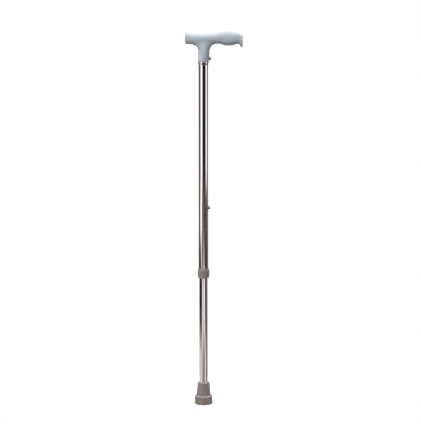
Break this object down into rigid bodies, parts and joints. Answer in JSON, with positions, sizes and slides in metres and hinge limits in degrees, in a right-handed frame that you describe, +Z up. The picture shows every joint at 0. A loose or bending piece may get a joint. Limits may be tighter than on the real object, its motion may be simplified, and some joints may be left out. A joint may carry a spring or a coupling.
{
  "type": "height-adjustable walking stick",
  "caption": "T-handled walking stick with telescoping bright tubes, spring-button height setting, collar lock nut and rubber ferrule.",
  "frame": {"origin": "centre of the ferrule's tread on the tubes' axis, where the stick stands on the floor", "axes": "+Z up along the tubes, +X towards the handle's long arm and both buttons"},
  "size_m": [0.1295, 0.0404, 0.8534],
  "materials": {
    "grip_plastic": "moulded, fine satin grain",
    "tube_bright": "polished and bright-anodised",
    "trim_chrome": "bright chrome",
    "button_steel": "bright-plated steel",
    "spring_steel": "hardened strip",
    "nut_plastic": "moulded, grey",
    "bush_plastic": "moulded, dark grey",
    "ring_plastic": "moulded, natural",
    "washer_steel": "zinc plated",
    "ferrule_rubber": "moulded, warm grey"
  },
  "bodies": {
    "upper_stick": {"handle_grip": "grip_plastic", "trim_ring": "trim_chrome", "upper_tube": "tube_bright", "collar_bush": "bush_plastic", "handle_clip": "spring_steel"},
    "handle_button": {"handle_button": "button_steel"},
    "clamp_ring": {"clamp_ring": "ring_plastic"},
    "lock_nut": {"lock_nut": "nut_plastic"},
    "lower_stick": {"lower_tube": "tube_bright", "guide_bush": "bush_plastic", "height_clip": "spring_steel", "ferrule_washer": "washer_steel", "ferrule": "ferrule_rubber"},
    "height_button": {"height_button": "button_steel"}
  },
  "joints": [
    {"name": "height_slide", "type": "slide", "parent": "upper_stick", "child": "lower_stick", "axis": [0, 0, -1], "range_m": [-0.075, 0.075]},
    {"name": "height_button_press", "type": "slide", "parent": "lower_stick", "child": "height_button", "axis": [-1, 0, 0], "range_m": [0, 0.0059], "stiffness_N_per_m": 1500, "springref_m": -0.004, "deforming": ["height_clip"]},
    {"name": "clamp_slide", "type": "slide", "parent": "upper_stick", "child": "clamp_ring", "axis": [0, 0, -1], "range_m": [0, 0.003]},
    {"name": "nut_turn", "type": "hinge", "parent": "clamp_ring", "child": "lock_nut", "pos_m": [0, 0, 0.305], "axis": [0, 0, -1], "range_deg": [0, 540]},
    {"name": "handle_button_press", "type": "slide", "parent": "upper_stick", "child": "handle_button", "axis": [-1, 0, 0], "range_m": [0, 0.0069], "stiffness_N_per_m": 1500, "springref_m": -0.004, "deforming": ["handle_clip"]}
  ],
  "couplings": [
    {"joint": "clamp_slide", "follows": "nut_turn", "m_per_rad": 0.0003183}
  ]
}
